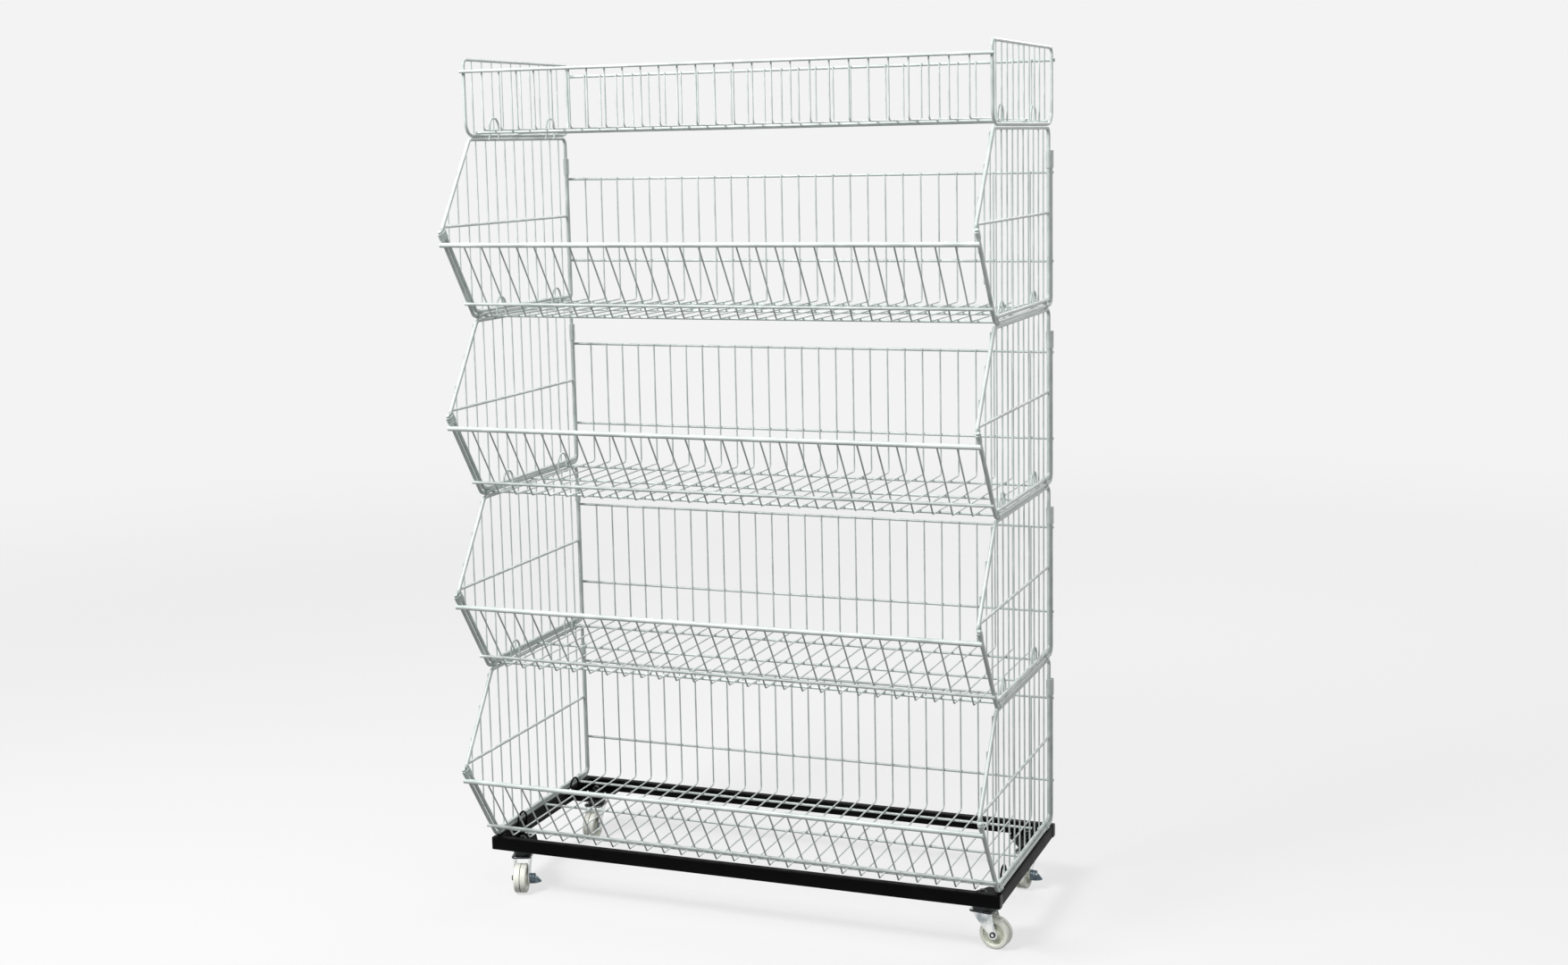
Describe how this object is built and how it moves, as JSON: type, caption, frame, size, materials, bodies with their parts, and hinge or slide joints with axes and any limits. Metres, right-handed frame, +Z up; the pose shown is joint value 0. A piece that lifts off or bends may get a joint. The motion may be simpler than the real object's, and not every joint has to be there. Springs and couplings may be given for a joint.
{
  "type": "wire grid display shelf",
  "caption": "Tall wire display stand: stacked sloped-front grid baskets with a flat basket on top, on a black tube base with swivel casters, two of them braked.",
  "frame": {"origin": "on the floor plane under the centre of the base frame", "axes": "+Z up, the open sloped fronts face -Y, +X to the right seen from the front"},
  "size_m": [1.0243, 0.5344, 1.5935],
  "materials": {
    "wire_coating": "semi-gloss pale grey-white coating",
    "black_coating": "satin black powder coating",
    "black_plastic": "matte black",
    "zinc_steel": "bright zinc plating",
    "nylon": "cream nylon",
    "lever_steel": "dark blue-grey"
  },
  "bodies": {
    "base": {"base_long_rails": "black_coating", "base_end_rails": "black_coating", "tube_caps": "black_plastic", "corner_plates": "black_coating", "base_loops": "black_coating", "caster_stems": "zinc_steel"},
    "caster_fl": {"fork_fl": "zinc_steel", "axle_fl": "zinc_steel"},
    "wheel_fl": {"wheel_fl": "nylon"},
    "brake_fl": {"brake_fl": "lever_steel"},
    "caster_fr": {"fork_fr": "zinc_steel", "axle_fr": "zinc_steel"},
    "wheel_fr": {"wheel_fr": "nylon"},
    "caster_rl": {"fork_rl": "zinc_steel", "axle_rl": "zinc_steel"},
    "wheel_rl": {"wheel_rl": "nylon"},
    "caster_rr": {"fork_rr": "zinc_steel", "axle_rr": "zinc_steel"},
    "wheel_rr": {"wheel_rr": "nylon"},
    "brake_rr": {"brake_rr": "lever_steel"},
    "tier_4": {"tier4_front_grid": "wire_coating", "tier4_floor_grid": "wire_coating", "tier4_back_grid": "wire_coating", "tier4_tray_ends": "wire_coating", "tier4_side_left": "wire_coating", "tier4_side_right": "wire_coating", "tier4_knuckle_clips": "wire_coating", "tier4_lock_sleeves": "wire_coating"},
    "tier_3": {"tier3_front_grid": "wire_coating", "tier3_floor_grid": "wire_coating", "tier3_back_grid": "wire_coating", "tier3_tray_ends": "wire_coating", "tier3_side_left": "wire_coating", "tier3_side_right": "wire_coating", "tier3_knuckle_clips": "wire_coating", "tier3_lock_sleeves": "wire_coating"},
    "tier_2": {"tier2_front_grid": "wire_coating", "tier2_floor_grid": "wire_coating", "tier2_back_grid": "wire_coating", "tier2_tray_ends": "wire_coating", "tier2_side_left": "wire_coating", "tier2_side_right": "wire_coating", "tier2_knuckle_clips": "wire_coating", "tier2_lock_sleeves": "wire_coating"},
    "tier_1": {"tier1_front_grid": "wire_coating", "tier1_floor_grid": "wire_coating", "tier1_back_grid": "wire_coating", "tier1_tray_ends": "wire_coating", "tier1_side_left": "wire_coating", "tier1_side_right": "wire_coating", "tier1_knuckle_clips": "wire_coating", "tier1_lock_sleeves": "wire_coating"},
    "top_basket": {"top_front_grid": "wire_coating", "top_floor_grid": "wire_coating", "top_back_grid": "wire_coating", "top_side_left": "wire_coating", "top_side_right": "wire_coating"}
  },
  "joints": [
    {"name": "swivel_front_left", "type": "hinge", "parent": "base", "child": "caster_fl", "pos_m": [-0.4625, -0.162, 0.07], "axis": [0, 0, 1], "continuous": true},
    {"name": "wheel_spin_front_left", "type": "hinge", "parent": "caster_fl", "child": "wheel_fl", "pos_m": [-0.45447, -0.18673, 0.028], "axis": [0.9511, 0.309, 0], "continuous": true},
    {"name": "brake_front_left", "type": "hinge", "parent": "caster_fl", "child": "brake_fl", "pos_m": [-0.45447, -0.18673, 0.028], "axis": [0.9511, 0.309, 0], "range_deg": [-20, 20]},
    {"name": "swivel_front_right", "type": "hinge", "parent": "base", "child": "caster_fr", "pos_m": [0.4625, -0.162, 0.07], "axis": [0, 0, 1], "continuous": true},
    {"name": "wheel_spin_front_right", "type": "hinge", "parent": "caster_fr", "child": "wheel_fr", "pos_m": [0.48818, -0.16607, 0.028], "axis": [0.1564, 0.9877, 0], "continuous": true},
    {"name": "swivel_rear_left", "type": "hinge", "parent": "base", "child": "caster_rl", "pos_m": [-0.4625, 0.162, 0.07], "axis": [0, 0, 1], "continuous": true},
    {"name": "wheel_spin_rear_left", "type": "hinge", "parent": "caster_rl", "child": "wheel_rl", "pos_m": [-0.46069, 0.13606, 0.028], "axis": [0.9976, 0.0698, 0], "continuous": true},
    {"name": "swivel_rear_right", "type": "hinge", "parent": "base", "child": "caster_rr", "pos_m": [0.4625, 0.162, 0.07], "axis": [0, 0, 1], "continuous": true},
    {"name": "wheel_spin_rear_right", "type": "hinge", "parent": "caster_rr", "child": "wheel_rr", "pos_m": [0.46023, 0.1361, 0.028], "axis": [0.9962, -0.0872, 0], "continuous": true},
    {"name": "brake_rear_right", "type": "hinge", "parent": "caster_rr", "child": "brake_rr", "pos_m": [0.46023, 0.1361, 0.028], "axis": [0.9962, -0.0872, 0], "range_deg": [-20, 20]},
    {"name": "lift_tier_4", "type": "slide", "parent": "base", "child": "tier_4", "axis": [0, 0, 1], "range_m": [0, 0.06]},
    {"name": "lift_tier_3", "type": "slide", "parent": "tier_4", "child": "tier_3", "axis": [0, 0, 1], "range_m": [0, 0.06]},
    {"name": "lift_tier_2", "type": "slide", "parent": "tier_3", "child": "tier_2", "axis": [0, 0, 1], "range_m": [0, 0.06]},
    {"name": "lift_tier_1", "type": "slide", "parent": "tier_2", "child": "tier_1", "axis": [0, 0, 1], "range_m": [0, 0.06]},
    {"name": "lift_top_basket", "type": "slide", "parent": "tier_1", "child": "top_basket", "axis": [0, 0, 1], "range_m": [0, 0.06]}
  ]
}
